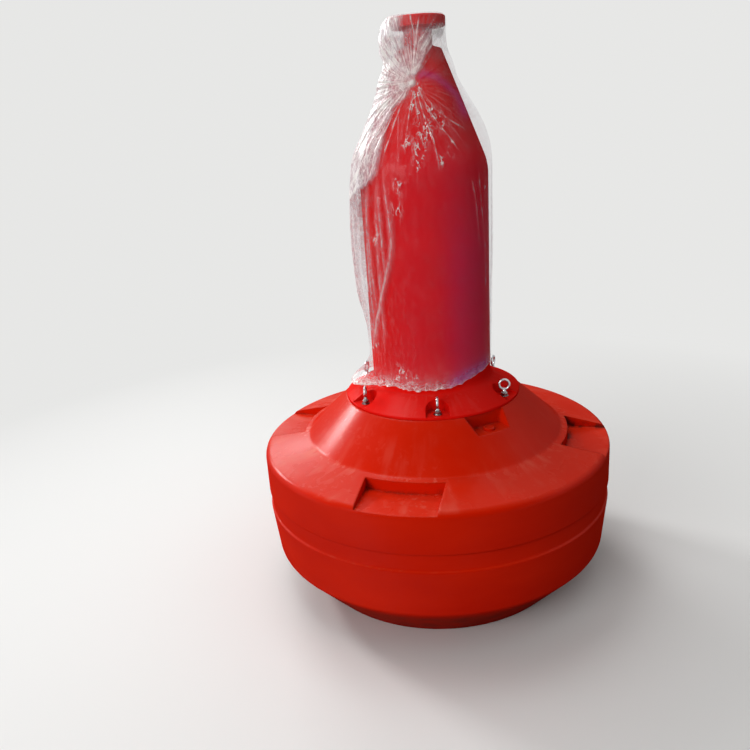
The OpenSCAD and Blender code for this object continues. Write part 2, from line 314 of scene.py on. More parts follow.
def join_by(piece, other, kind):
    """Cuts, joins or crosses a piece with another, which is used up."""
    take(piece)
    modifier = piece.modifiers.new(kind.lower(), "BOOLEAN")
    modifier.operation = kind
    modifier.solver = "EXACT"
    modifier.object = other
    bpy.ops.object.modifier_apply(modifier=modifier.name)
    bpy.data.objects.remove(other)


def swing(piece, angle):
    """Turns a cutter about the Z axis, with its turn kept in the object."""
    piece.matrix_world = Matrix.Rotation(angle, 4, "Z") @ piece.matrix_world
    bpy.context.view_layer.update()


def soften(piece, width, sharp=28, segments=3):
    """Rounds the sharp edges that the cutters left, and smooths the shading."""
    take(piece)
    bpy.ops.object.mode_set(mode="EDIT")
    bpy.ops.mesh.select_mode(type="EDGE")
    bpy.ops.mesh.select_all(action="SELECT")
    bpy.ops.mesh.remove_doubles(threshold=0.0001)
    bpy.ops.mesh.select_all(action="DESELECT")
    bpy.ops.mesh.edges_select_sharp(sharpness=math.radians(sharp))
    bpy.ops.mesh.bevel(offset=width, segments=segments, profile=0.5, affect="EDGES", clamp_overlap=True)
    bpy.ops.mesh.select_mode(type="VERT")
    bpy.ops.object.mode_set(mode="OBJECT")
    bpy.ops.object.shade_smooth_by_angle(angle=math.radians(40))
    modifier = piece.modifiers.new("weighted", "WEIGHTED_NORMAL")
    modifier.keep_sharp = True
    modifier.weight = 80
    bpy.ops.object.modifier_apply(modifier=modifier.name)


def notch_cutter(angle):
    """What a deck notch takes away: a block whose inner wall follows a circle round the axis."""
    cutter = block((NOTCH_R - 0.05, -NOTCH_W / 2, NOTCH_Z), (FLOAT_R + 0.2, NOTCH_W / 2, FLOAT_TOP))
    join_by(cutter, post(NOTCH_R, NOTCH_Z - 0.1, FLOAT_TOP + 0.1), "DIFFERENCE")
    swing(cutter, angle)
    return cutter


def pocket_cutter(angle):
    """What a cone pocket takes away: a block that narrows towards its floor."""
    cutter = block((POCKET_BACK, -POCKET_TOP_W / 2, POCKET_Z), (0.5, POCKET_TOP_W / 2, FLOAT_TOP + 0.001))
    bpy.ops.object.mode_set(mode="EDIT")
    bpy.ops.mesh.select_all(action="DESELECT")
    bpy.ops.object.mode_set(mode="OBJECT")
    for vertex in cutter.data.vertices:  # the four corners of the floor
        vertex.select = vertex.co.z < 0
    bpy.ops.object.mode_set(mode="EDIT")
    bpy.ops.transform.resize(value=(1, POCKET_FLOOR_W / POCKET_TOP_W, 1), center_override=(0, 0, 0))
    bpy.ops.object.mode_set(mode="OBJECT")
    swing(cutter, angle)
    return cutter


hull = turned("float_moulding", rounded(FLOAT_ROWS), FLOAT_TURNS)
for i in range(4):
    join_by(hull, notch_cutter(math.radians(90 * i)), "DIFFERENCE")
for i in range(2):
    join_by(hull, pocket_cutter(POCKET_TURN + math.pi * i), "DIFFERENCE")
hold = block((HOLD_BACK, -HOLD_W / 2, -0.1), (FLOAT_R + 0.2, HOLD_W / 2, HOLD_TOP))
swing(hold, POCKET_TURN + math.pi)
join_by(hull, hold, "DIFFERENCE")
soften(hull, EDGE_ROUND)


def plus(first, *others):
    """The sum of a socket and more sockets or numbers."""
    for value in others:
        first = calc("ADD", first, value)
    return first


def noise_of(coords, scale, detail=4.0, stretch=(1, 1, 1)):
    """Noise on object coordinates, stretched along the axes."""
    tree = coords.id_data
    mapping = add_node(tree, "ShaderNodeMapping", Vector=coords, Scale=stretch)
    node = add_node(tree, "ShaderNodeTexNoise", Vector=mapping.outputs[0], Scale=scale, Detail=detail)
    return node.outputs["Fac"]


def flattened(vector):
    """A vector with its Z taken out, and how long it then is."""
    flat = vector_calc("MULTIPLY", vector, (1, 1, 0))
    return flat, vector_calc("LENGTH", flat)


def spokes(vector, around, along):
    """Turns a flat vector into one on which a noise makes lines that run out from the middle."""
    flat, away = flattened(vector)
    aim = vector_calc("MULTIPLY", vector_calc("NORMALIZE", flat), (around,) * 3)
    out = add_node(away.id_data, "ShaderNodeCombineXYZ", Z=times(away, along))
    return vector_calc("ADD", aim, out.outputs[0])


def bumped(height, strength, distance, **below):
    """A normal roughened by a height, over another Normal where one is given."""
    bump = add_node(height.id_data, "ShaderNodeBump", Strength=strength, Distance=distance, **below)
    return wire(bump, Height=height).outputs[0]


def polyethylene(name, colour, deep, pale, top_lit_tone, round_edge, shine_most):
    """Moulded polyethylene: a waxy skin with flow marks, fine pimples, rub marks and some dust, with
    painted light on the faces that look up and painted shade in the inner corners and low down.
    """
    mat, shader, coords = new_material(name)
    tree = mat.node_tree
    place = parts_of(coords)
    upness = parts_of(add_node(tree, "ShaderNodeTexCoord").outputs["Normal"])["Z"]
    flow = noise_of(coords, 2.2, 5, (1, 1, 2.5))
    tone = mixed(ramp(flow, [(0.35, 0.0), (0.7, 1.0)]), colour, deep)
    flat = ramp(upness, [(0.55, 0.0), (0.97, 1.0)])
    # Painted light: faces that look up are mixed towards the top-lit tone, which on the float is lighter
    # and more orange, as if lit from above
    tone = mixed(times(flat, 0.6), tone, top_lit_tone)
    # Rub marks and specks in patches on the upper faces, most at the cone's foot and on the lit -X side,
    # fewest at +X: real wear, and partly a painted sheen
    toward_lit_side = ramp(plus(place["X"], 0.5), [(0.45, 1.0), (0.78, 0.40)])
    patches = times(ramp(noise_of(coords, 6, 3), [(0.35, 0.0), (0.66, 1.0)]), flat)
    streaks = ramp(noise_of(spokes(coords, 11, 9), 1.0, 8), [(0.51, 0.0), (0.66, 1.0)])
    foot = ramp(flattened(coords)[1], [(0.425, 0.35), (0.450, 1.0), (0.500, 0.35)])
    specks = ramp(noise_of(coords, 60, 9), [(0.56, 0.0), (0.66, 0.8)])
    scuffs_and_sheen = times(calc("MAXIMUM", streaks, specks), patches, foot, toward_lit_side)
    tone = mixed(times(scuffs_and_sheen, 0.45), tone, pale)
    tone = mixed(times(patches, 0.03), tone, pale)
    # Painted shade: darker in the inner corners, where the hull hides itself, broken up by noise
    hidden = add_node(tree, "ShaderNodeAmbientOcclusion", samples=6, only_local=True, Distance=0.028)
    corner = hidden.outputs["AO"]
    corner_shade = times(ramp(corner, [(0.30, 1.0), (0.72, 0.0)]),
                  ramp(noise_of(coords, 34, 8), [(0.42, 0.1), (0.62, 1.0)]), 0.7)
    tone = mixed(corner_shade, tone, (0.050, 0.014, 0.010))
    # Black rubber marks along the wall of the notch at +X
    smears = ramp(noise_of(coords, 26, 7, (1, 0.5, 1)), [(0.43, 0.0), (0.52, 1.0)])
    marked = times(ramp(place["X"], [(0.42, 0.0), (0.45, 1.0)]),
                   ramp(place["Z"], [(0.47, 0.0), (0.492, 1.0)]),
                   ramp(corner, [(0.60, 1.0), (0.90, 0.0)]), smears, 0.9)
    tone = mixed(marked, tone, (0.022, 0.012, 0.010))
    # Darker and browner on the bottom and the bevel above it: partly earth, partly painted shade on the
    # faces that look down
    earth_and_shade = times(ramp(place["Z"], [(0.110, 1.0), (0.150, 0.0)]),
                  ramp(noise_of(coords, 14, 9), [(0.3, 0.55), (0.65, 1.0)]), 0.85)
    tone = mixed(earth_and_shade, tone, (0.20, 0.018, 0.012))
    dull = plus(times(patches, 0.08), times(scuffs_and_sheen, 0.14), 0.225)
    edges = add_node(tree, "ShaderNodeBevel", samples=6, Radius=round_edge).outputs[0]
    waves = bumped(noise_of(coords, 5.5, 1.0), 0.35, 0.006, Normal=edges)
    marks = bumped(scuffs_and_sheen, 0.12, 0.001, Normal=waves)
    pimples = bumped(noise_of(coords, 620, 2.0), 0.22, 0.0004, Normal=marks)
    wire(shader, Base_Color=tone, Roughness=dull, Specular_IOR_Level=0.0, Normal=pimples)
    # The shine of the waxy skin grows towards the rim, but stays weak there and
    # on the upright faces, which handling has rubbed dull
    shine = add_node(tree, "ShaderNodeBsdfGlossy", Color=(1, 1, 1, 1), Roughness=dull, Normal=pimples)
    facing = add_node(tree, "ShaderNodeLayerWeight", Blend=0.5, Normal=waves).outputs["Facing"]
    kept = ramp(upness, [(0.05, 0.22), (0.72, 0.85), (0.97, 1.0)])
    share = calc("MINIMUM", times(calc("POWER", facing, 2.2), 0.210),
                 times(kept, toward_lit_side, shine_most))
    surface = layered(share, shader.outputs[0], shine.outputs[0])
    wire(tree.nodes["Material Output"], Surface=surface)
    return mat


float_plastic = polyethylene(
    "float_plastic", colour=(0.67, 0.013, 0.001), deep=(0.58, 0.009, 0.0008), pale=(0.86, 0.34, 0.24),
    top_lit_tone=(0.70, 0.022, 0.003), round_edge=0.009, shine_most=0.038)
hull.data.materials.append(float_plastic)
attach(hull, "root")
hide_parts("float_hull")

# Filling plugs
# Screwed caps over the holes through which the hull is filled with foam, one
# on the floor of each cone pocket, in the float's own plastic.


def dress(node_name, mat):
    """Gives a piece of the frame a better material."""
    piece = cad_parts[node_name]
    piece.data.materials.clear()
    piece.data.materials.append(mat)


for i in (1, 2):
    dress(f"filling_plug_{i}", float_plastic)

# Tower
# The second moulding, of redder polyethylene: a bolted skirt with six arched
# pockets, a long column, a cone, a narrow neck and the seat for the lamp.
TOP_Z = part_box("tower")[1].z
SEAT_Z = TOP_Z - 0.031
SHELF_Z = SEAT_Z - 0.060
FOOT_Z = FLOAT_TOP + 0.059
KINK_Z = 1.418
ARCH_R = 0.038
INSERT_PLACE_R = 0.065
INSERT_R = 0.008
INSERT_DEPTH = 0.022
ARCH_FLOOR = FLOAT_TOP + 0.008
BOLT_R = 0.266
BOLT_ANGLES = [math.radians(-75 + 60 * i) for i in range(6)]
TOWER_TURNS = 160
TOWER_EDGE_ROUND = 0.0022
# Half outline of the tower: radius, height, corner radius
TOWER_ROWS = [
    (0.0, FLOAT_TOP, 0.0),
    (SKIRT_R, FLOAT_TOP, 0.003),
    (SKIRT_R, ARCH_FLOOR, 0.004),
    (0.201, FOOT_Z, 0.026),
    (0.205, KINK_Z, 0.170),
    (0.070, SHELF_Z, 0.009),
    (0.043, SHELF_Z + 0.009, 0.007),
    (0.043, SEAT_Z, 0.007),
    (0.084, SEAT_Z, 0.005),
    (0.084, TOP_Z, 0.006),
    (0.0, TOP_Z, 0.0),
]

tower = turned("tower_moulding", rounded(TOWER_ROWS), TOWER_TURNS)
for angle in BOLT_ANGLES:
    arch = post(ARCH_R, ARCH_FLOOR, FOOT_Z + 0.05, (BOLT_R, 0), 48)
    mouth = block((BOLT_R, -ARCH_R, ARCH_FLOOR), (SKIRT_R + 0.1, ARCH_R, FOOT_Z + 0.05))
    join_by(arch, mouth, "UNION")
    swing(arch, angle)
    join_by(tower, arch, "DIFFERENCE")
for i in range(4):
    angle = math.radians(45 + 90 * i)
    place = (INSERT_PLACE_R * math.cos(angle), INSERT_PLACE_R * math.sin(angle))
    join_by(tower, post(INSERT_R, TOP_Z - INSERT_DEPTH, TOP_Z + 0.01, place, 32), "DIFFERENCE")
soften(tower, TOWER_EDGE_ROUND)
tower_plastic = polyethylene(
    "tower_plastic", colour=(0.82, 0.007, 0.004), deep=(0.73, 0.005, 0.003), pale=(0.84, 0.20, 0.16),
    top_lit_tone=(0.80, 0.009, 0.005), round_edge=0.004, shine_most=0.009)
tower.data.materials.append(tower_plastic)
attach(tower, "root")
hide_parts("tower")

# Eye bolts
# Six screw eyes of zinc-plated steel hold the tower down: each is a ring of
# round wire on a threaded shank, turned through a nut and a washer into the hull.
WIRE_R = 0.004
RING_R = 0.0165
SHANK_R = 0.006
THREAD_PITCH = 0.0018
THREAD_DEPTH = 0.0008
SHANK_TOP_R = 0.0046
SHANK_SUNK = 0.020
WASHER_R = 0.014
WASHER_T = 0.0025
WASHER_ROUND = 0.0006
WASHER_PLAY = 0.0006
NUT_H = 0.010
NUT_AF = 0.019
NUT_ROUND = 0.0003
NUT_CHAMFER = 1.72
NUT_TOP = ARCH_FLOOR + WASHER_T + NUT_H
RING_Z = NUT_TOP + WIRE_R + RING_R
# How far each eye has been turned, and how far its shank stands out
EYE_TURNS = [math.radians(a) for a in (-80, 12, 80, -80, -95, -80)]
EYE_LIFTS = [0.006, 0.007, 0.006, 0.008, 0.012, 0.009]


def placed(piece, name, turn, place):
    """A copy of a piece, turned about the Z axis and moved, with its place in its mesh."""
    take(piece)
    bpy.ops.object.duplicate()
    copy = bpy.context.object
    copy.name = name
    copy.rotation_euler = (0, 0, turn)
    copy.location = place
    bpy.ops.object.transform_apply(location=True, rotation=True, scale=True)
    return copy


def zinc_steel():
    """Bright zinc on steel, a little cloudy, with spots of dirt, and darker low down round the nut and
    washer.
    """
    mat, shader, coords = new_material("zinc_steel")
    cloud = noise_of(coords, 70, 6)
    tone = mixed(ramp(cloud, [(0.35, 0.0), (0.7, 1.0)]), (0.60, 0.61, 0.63), (0.38, 0.39, 0.41))
    dirt = ramp(noise_of(coords, 240, 8), [(0.58, 0.0), (0.70, 1.0)])
    tone = mixed(times(dirt, 0.55), tone, (0.12, 0.10, 0.085))
    # Darker low down, over the washer, the nut and the foot of the shank, broken up by noise
    sunk = ramp(parts_of(coords)["Z"], [(0.681, 1.0), (0.694, 0.0)])
    darker_low = times(sunk, ramp(noise_of(coords, 130, 6), [(0.36, 0.35), (0.62, 0.8)]))
    tone = mixed(darker_low, tone, (0.10, 0.085, 0.080))
    wire(shader, Base_Color=tone, Metallic=1.0, Roughness=plus(times(cloud, 0.3), 0.12),
         Normal=bumped(noise_of(coords, 500, 3), 0.3, 0.0003))
    return mat


steel = zinc_steel()

# The threaded shank, with the ring of wire spun and joined on
thread_low = FLOAT_TOP - SHANK_SUNK
thread_rows = [Vector((0, thread_low))]
for i in range(int((RING_Z - RING_R - WIRE_R - thread_low) / THREAD_PITCH)):
    foot = thread_low + i * THREAD_PITCH
    thread_rows.append(Vector((SHANK_R - THREAD_DEPTH, foot)))
    thread_rows.append(Vector((SHANK_R, foot + THREAD_PITCH / 2)))
thread_rows.append(Vector((SHANK_R - THREAD_DEPTH, foot + THREAD_PITCH)))
thread_rows.append(Vector((SHANK_TOP_R, RING_Z - RING_R + WIRE_R / 2)))
thread_rows.append(Vector((0, RING_Z - RING_R + WIRE_R / 2)))
screw_eye = turned("screw_eye", thread_rows, 24)
bpy.ops.object.select_all(action="DESELECT")
bpy.ops.mesh.primitive_circle_add(vertices=16, radius=WIRE_R, rotation=(math.pi / 2, 0, 0))
ring = bpy.context.object
bpy.ops.object.transform_apply(rotation=True)
bpy.ops.object.mode_set(mode="EDIT")
bpy.ops.mesh.select_all(action="SELECT")
bpy.ops.transform.rotate(value=math.pi / 2, orient_axis="Z", center_override=(0, 0, 0))
bpy.ops.transform.translate(value=(0, 0, RING_Z - RING_R))
bpy.ops.mesh.spin(steps=56, angle=2 * math.pi, center=(0, 0, RING_Z), axis=(0, 1, 0))
bpy.ops.mesh.select_all(action="SELECT")
bpy.ops.mesh.remove_doubles(threshold=0.00001)
bpy.ops.mesh.normals_make_consistent(inside=False)
bpy.ops.object.mode_set(mode="OBJECT")
join_by(screw_eye, ring, "UNION")
bpy.ops.object.shade_smooth_by_angle(angle=math.radians(50))
screw_eye.data.materials.append(steel)

# The nut, with its ends chamfered by cones
bpy.ops.object.select_all(action="DESELECT")
hex_nut = post(NUT_AF / math.sqrt(3), NUT_TOP - NUT_H, NUT_TOP, sides=6)
hex_nut.rotation_euler.z = math.pi / 6
bpy.ops.object.transform_apply(location=True, rotation=True)
for flip in (0, math.pi):
    bpy.ops.mesh.primitive_cone_add(
        vertices=64, radius1=NUT_AF * 0.5 + NUT_H * NUT_CHAMFER, radius2=NUT_AF * 0.5 - 0.0002, depth=NUT_H,
        location=(0, 0, NUT_TOP - NUT_H / 2), rotation=(flip, 0, 0),
    )
    join_by(hex_nut, bpy.context.object, "INTERSECT")
bore = post(SHANK_R - THREAD_DEPTH / 2, NUT_TOP - 2 * NUT_H, NUT_TOP + NUT_H, sides=32)
join_by(hex_nut, bore, "DIFFERENCE")
soften(hex_nut, NUT_ROUND, segments=2)
hex_nut.data.materials.append(steel)

washer = post(WASHER_R, ARCH_FLOOR, ARCH_FLOOR + WASHER_T, sides=64)
bpy.ops.object.transform_apply(location=True)
join_by(washer, post(SHANK_R + WASHER_PLAY, ARCH_FLOOR - 0.01, ARCH_FLOOR + 0.01, sides=48), "DIFFERENCE")
soften(washer, WASHER_ROUND, segments=2)
washer.data.materials.append(steel)

for i, angle in enumerate(BOLT_ANGLES):
    place = Vector((BOLT_R * math.cos(angle), BOLT_R * math.sin(angle), 0))
    for kind, model, turn, lift in (
        ("bolt", screw_eye, EYE_TURNS[i], EYE_LIFTS[i]),
        ("nut", hex_nut, angle, 0),
        ("washer", washer, angle, 0),
    ):
        piece = placed(model, f"steel_{kind}_{i + 1}", turn, place + Vector((0, 0, lift)))
        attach(piece, "root")
        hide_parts(f"eye_{kind}_{i + 1}")
for model in (screw_eye, hex_nut, washer):
    bpy.data.objects.remove(model)

# Film wrap
# A big bag of clear polyethylene film pulled down over the tower to keep it
# clean. Its closed end lies over the lamp seat, the slack is drawn to one knot
# on the upper cone, and the open hem ends in crinkles on the skirt.
KNOT_TURN = math.radians(-88)
KNOT_Z = 1.662
SLACK_TURN = math.radians(192)
FRONT_TURN = math.radians(-78)
FILM_COLUMNS = 408
FILM_RINGS = 12
FILM_SIDE_ROWS = 219
SMOOTHINGS = 10
FILM_STAND_OFF = 0.0012
WELD_RISE = 0.0016
WELD_HALF = 0.004
# Height, and the radius on the slack side, in front, on the far side and behind
BAG_ROWS = [
    (TOP_Z + 0.0028, 0.0880, 0.0810, 0.0800, 0.0810),
    (TOP_Z - 0.003, 0.0990, 0.0860, 0.0862, 0.0870),
    (TOP_Z - 0.014, 0.1040, 0.0865, 0.0868, 0.0880),
    (1.800, 0.1150, 0.0890, 0.0830, 0.0930),
    (1.762, 0.1150, 0.0910, 0.0860, 0.0990),
    (1.724, 0.1040, 0.0970, 0.1030, 0.1050),
    (1.674, 0.1240, 0.1090, 0.1160, 0.1180),
    (1.624, 0.1390, 0.1270, 0.1460, 0.1390),
    (1.574, 0.1620, 0.1475, 0.1760, 0.1630),
    (1.523, 0.1900, 0.1680, 0.2000, 0.1880),
    (1.473, 0.2170, 0.1890, 0.2140, 0.2080),
    (1.424, 0.2270, 0.2070, 0.2170, 0.2180),
    (1.340, 0.2350, 0.2075, 0.2140, 0.2200),
    (1.180, 0.2370, 0.2065, 0.2120, 0.2180),
    (1.030, 0.2300, 0.2055, 0.2070, 0.2140),
    (0.920, 0.2080, 0.2050, 0.2060, 0.2090),
    (0.830, 0.2060, 0.2045, 0.2050, 0.2070),
    (0.760, 0.2080, 0.2060, 0.2050, 0.2070),
    (0.700, 0.2200, 0.2200, 0.2200, 0.2200),
]
# Azimuth in degrees and height of the open hem
HEM_ROWS = [(-180, 0.722), (-165, 0.714), (-150, 0.722), (-113, 0.741), (-89, 0.731), (-62, 0.736),
            (-35, 0.758), (-7, 0.772), (40, 0.752), (90, 0.741), (140, 0.735), (180, 0.722)]


def wrapped(angle):
    """An angle between half a turn back and half a turn on."""
    return (angle + math.pi) % (2 * math.pi) - math.pi


def slope(value, start, span):
    """0 up to the start, 1 from one span on, and straight between; a falling one has its span negative."""
    return np.clip((value - start) / span, 0, 1)


def hump(value, middle, half, power=4):
    """1 at the middle, a third at one half width from it, and nothing far out."""
    return np.exp(-np.abs((value - middle) / half) ** power)


def spread(count, low, high, busy):
    """Places from low to high, closer together where busy(place) is high."""
    place = np.linspace(low, high, 4000)
    pace = np.cumsum(1 + busy(place))
    return np.interp(np.linspace(pace[0], pace[-1], count), pace, place)


def fan(seed, count, aim, reach, rise, width):
    """Folds that run out from the knot: aim, reach, rise and width are ranges to draw from."""
    draw = random.Random(seed)
    for i in range(count):
        angle = aim[0] + (aim[1] - aim[0]) * (i + 0.5 + draw.uniform(-0.4, 0.4)) / count
        yield (math.radians(angle), draw.uniform(*reach), draw.uniform(*rise), draw.uniform(*width),
               draw.uniform(-0.5, 0.5), draw.choice((-1, 1)))


def fold_shape(across, side):
    """A fold seen end on: a rounded crest, one flank steeper than the other."""
    flank = np.where(across * side > 0, across, across * 0.45)
    return np.exp(-np.abs(flank) ** 1.6)


def ripple(seed, pace, x, y, z):
    """Smooth noise round zero, made of plane waves whose directions are drawn from a seed."""
    draw = np.random.default_rng(seed)
    total = np.zeros(x.shape)
    for aim, start in zip(draw.normal(size=(8, 3)), draw.uniform(0, 2 * math.pi, 8)):
        total += np.sin(pace * (aim[0] * x + aim[1] * y + aim[2] * z) + start)
    return total / 4


def near_line(line):
    """How far each point of the film lies from a line of (azimuth, height), and how far along it."""
    gap = np.full(film_z.shape, 9.0)
    along = np.zeros(film_z.shape)
    for k, ((turn_a, z_a), (turn_b, z_b)) in enumerate(zip(line, line[1:])):
        u, v = film_r * wrapped(film_turn - math.radians(turn_a)), film_z - z_a
        du, dv = film_r * math.radians(turn_b - turn_a), z_b - z_a
        part = np.clip((u * du + v * dv) / (du ** 2 + dv ** 2), 0, 1)
        apart = np.hypot(u - part * du, v - part * dv)
        along = np.where(apart < gap, (k + part) / (len(line) - 1), along)
        gap = np.minimum(gap, apart)
    return gap, along


columns = KNOT_TURN - math.pi + spread(
    FILM_COLUMNS + 1, 0, 2 * math.pi, lambda a: 1.7 * np.maximum(0, np.cos(a - math.pi)))
down = spread(
    FILM_SIDE_ROWS, 0, 1, lambda t: 1.9 * hump(t, 0.19, 0.14, 2) + 1.8 * hump(t, 1, 0.05, 2))
turn_deg = np.degrees(wrapped(columns))
hem_z = np.interp(turn_deg, *zip(*HEM_ROWS))
hem_z += [0.004 * noise.noise((9 * math.cos(a), 9 * math.sin(a), 3.7)) for a in columns]
film_z = BAG_ROWS[0][0] + down[:, None] * (hem_z[None, :] - BAG_ROWS[0][0])
film_turn = np.broadcast_to(columns, film_z.shape)

bag = np.array(BAG_ROWS[::-1])
film_r = np.zeros(film_z.shape)
for k, aim in enumerate((SLACK_TURN, FRONT_TURN, SLACK_TURN + math.pi, FRONT_TURN + math.pi)):
    share = np.maximum(0, np.cos(film_turn - aim)) ** 2
    film_r += share * np.interp(film_z, bag[:, 0], bag[:, 1 + k])

for _ in range(SMOOTHINGS):
    film_r[1:-1] = 0.5 * film_r[1:-1] + 0.25 * (film_r[:-2] + film_r[2:])

knot_u = film_r * wrapped(film_turn - KNOT_TURN)
knot_v = film_z - KNOT_Z
away = np.hypot(knot_u, knot_v)
aim_from_knot = np.arctan2(knot_u, -knot_v)
deg = np.degrees(wrapped(film_turn))
to_hem = np.maximum(film_z - hem_z[None, :], 0)
slack_share = 0.35 + 0.65 * np.maximum(0, np.cos(film_turn - math.radians(-150))) ** 2

# How the painted glint breaks up along a crease
film_x, film_y = film_r * np.cos(film_turn), film_r * np.sin(film_turn)
broken = 0.75 * ripple(6, 110, film_x, film_y, film_z) + 0.35 * ripple(7, 260, film_x, film_y, film_z)
broken = np.clip(0.50 + broken, 0.05, 1)

# Fine folds that run out from the knot
fold_h = np.zeros(film_z.shape)
# Where a glint is painted along the crest of a fold, partly the white of the crease itself
crest = np.zeros(film_z.shape)
fans = [
    *fan(11, 30, (-64, 60), (0.06, 0.26), (0.0014, 0.0038), (0.0026, 0.0060)),
    *fan(12, 38, (-152, -62), (0.14, 0.46), (0.0035, 0.0080), (0.0035, 0.0090)),
    *fan(13, 40, (-214, -146), (0.14, 0.26), (0.0026, 0.0060), (0.0026, 0.0052)),
    *fan(14, 8, (70, 140), (0.08, 0.22), (0.0015, 0.0035), (0.0060, 0.0120)),
]
for aim, reach, rise, width, bend, side in fans:
    across = away * wrapped(aim_from_knot - aim - bend * away)
    body = (1 - np.exp(-away / 0.018)) * hump(away, 0, reach, 3)
    body *= np.cos(wrapped(aim_from_knot - aim - bend * away)) > 0
    fold_h = np.maximum(fold_h, rise * body * fold_shape(across / (width * (0.45 + 3.2 * away)), side))
    crest = np.maximum(crest, body * broken * (rise / 0.010) * hump(across, 0, 0.0015, 2))

# The folds that catch the light: rise, half width and the brightness of the glint painted along
# the crest, then azimuth and height along each. Those up to the seat and down over the cone start at the
# knot.
LIT_FOLDS = [
    (0.005, 0.0050, 0.90, (-87, 1.640), (-91, 1.582), (-93, 1.525)),
    (0.003, 0.0035, 0.80, (-86, 1.640), (-82, 1.581), (-81, 1.556)),
    (0.004, 0.0035, 0.90, (-82, 1.640), (-71, 1.537), (-67, 1.501), (-64, 1.400)),
    (0.003, 0.0030, 0.80, (-79, 1.640), (-65, 1.569), (-53, 1.511), (-44, 1.459)),
    (0.003, 0.0030, 0.60, (-77, 1.646), (-61, 1.587), (-46, 1.549), (-30, 1.517)),
    (0.003, 0.0080, 0.40, (-94, 1.640), (-104, 1.585), (-101, 1.507), (-98, 1.440)),
    (0.005, 0.0060, 0.95, (-97, 1.640), (-107, 1.558), (-115, 1.418)),
    (0.004, 0.0045, 0.80, (-96, 1.645), (-111, 1.580), (-122, 1.480), (-124, 1.420)),
    (0.005, 0.0060, 0.90, (-99, 1.645), (-115, 1.597), (-130, 1.511), (-134, 1.420)),
    (0.005, 0.0060, 0.80, (-104, 1.650), (-133, 1.594), (-148, 1.505), (-152, 1.430)),
    (0.003, 0.0040, 0.70, (-121, 1.845), (-113, 1.808), (-107, 1.755), (-92, 1.680)),
    (0.003, 0.0035, 0.80, (-91, 1.847), (-82, 1.784), (-87, 1.725), (-88, 1.676)),
    (0.003, 0.0035, 0.80, (-74, 1.841), (-82, 1.784), (-88, 1.709), (-88, 1.676)),
    (0.004, 0.0040, 0.95, (-43, 1.836), (-76, 1.775), (-85, 1.708), (-87, 1.676)),
    (0.004, 0.0050, 0.90, (-18, 1.824), (-58, 1.785), (-79, 1.740), (-86, 1.680)),
    (0.003, 0.0040, 0.80, (-53, 1.763), (-82, 1.708), (-87, 1.672)),
    (0.005, 0.0060, 0.95, (-137, 1.765), (-106, 1.712), (-90, 1.668)),
    (0.003, 0.0040, 0.60, (-144, 1.674), (-111, 1.668), (-92, 1.665)),
    (0.004, 0.0050, 0.70, (-134, 1.639), (-107, 1.651), (-91, 1.663)),
    (0.002, 0.0030, 0.50, (-35, 1.378), (-30, 1.303), (-26, 1.160)),
    (0.002, 0.0030, 0.60, (-27, 1.400), (-19, 1.189), (-15, 1.000)),
    (0.003, 0.0040, 0.80, (-150, 0.840), (-138, 0.859), (-130, 0.876)),
]
for rise, width, glints_and_creases, *line in LIT_FOLDS:
    gap, along = near_line(line)
    body = np.clip(along * 30 + 0.4, 0, 1) * np.clip((1 - along) * 5, 0, 1)
    fold_h = np.maximum(fold_h, rise * body * fold_shape(gap / width, 1))
    glow = glints_and_creases * (0.30 + 0.70 * broken) * body
    crest = np.maximum(crest, glow * hump(gap, 0, 0.0011 + 0.0008 * broken, 2))

# Upright folds in the slack: azimuth in degrees, slant, foot, head, rise, width
UPRIGHT = [
    (-140, 0.10, 0.92, 1.44, 0.010, 0.012), (-133, 0.16, 0.88, 1.40, 0.007, 0.008),
    (-127, -0.12, 0.96, 1.38, 0.006, 0.007), (-121, 0.10, 0.98, 1.42, 0.008, 0.008),
    (-115, -0.15, 1.10, 1.40, 0.005, 0.006), (-124, 0.32, 0.84, 1.10, 0.006, 0.008),
    (-150, 0.05, 0.90, 1.42, 0.009, 0.014), (-160, -0.08, 0.84, 1.44, 0.010, 0.014),
    (-172, 0.10, 0.86, 1.40, 0.008, 0.016), (172, -0.1, 0.80, 1.44, 0.009, 0.012),
    (158, 0.15, 0.86, 1.40, 0.008, 0.010), (146, -0.12, 0.90, 1.46, 0.009, 0.013),
    (131, 0.08, 0.82, 1.38, 0.008, 0.010), (117, -0.1, 0.80, 1.44, 0.009, 0.014),
    (101, 0.14, 0.86, 1.42, 0.007, 0.010), (84, -0.07, 0.80, 1.46, 0.008, 0.012),
    (66, 0.1, 0.88, 1.40, 0.007, 0.010), (49, -0.12, 0.84, 1.44, 0.008, 0.012),
    (30, 0.06, 0.90, 1.45, 0.006, 0.009), (14, -0.05, 0.82, 1.42, 0.006, 0.008),
    (-4, 0.06, 0.84, 1.45, 0.005, 0.005), (-11, -0.05, 0.90, 1.42, 0.005, 0.004),
    (-18, 0.05, 1.02, 1.40, 0.003, 0.004),
]
soft_fold = np.zeros(film_z.shape)
for azimuth, slant, foot, head, rise, width in UPRIGHT:
    across = film_r * wrapped(film_turn - math.radians(azimuth) - slant * (film_z - foot))
    body = hump(film_z, (foot + head) / 2, (head - foot) / 2)
    fold_h = np.maximum(fold_h, rise * body * fold_shape(across / width, 1 if slant > 0 else -1))
    soft_fold = np.maximum(soft_fold, body * hump(across, 0, 0.0065, 2))
    crest = np.maximum(crest, 0.30 * broken * body * hump(across, 0, 0.0018, 2))

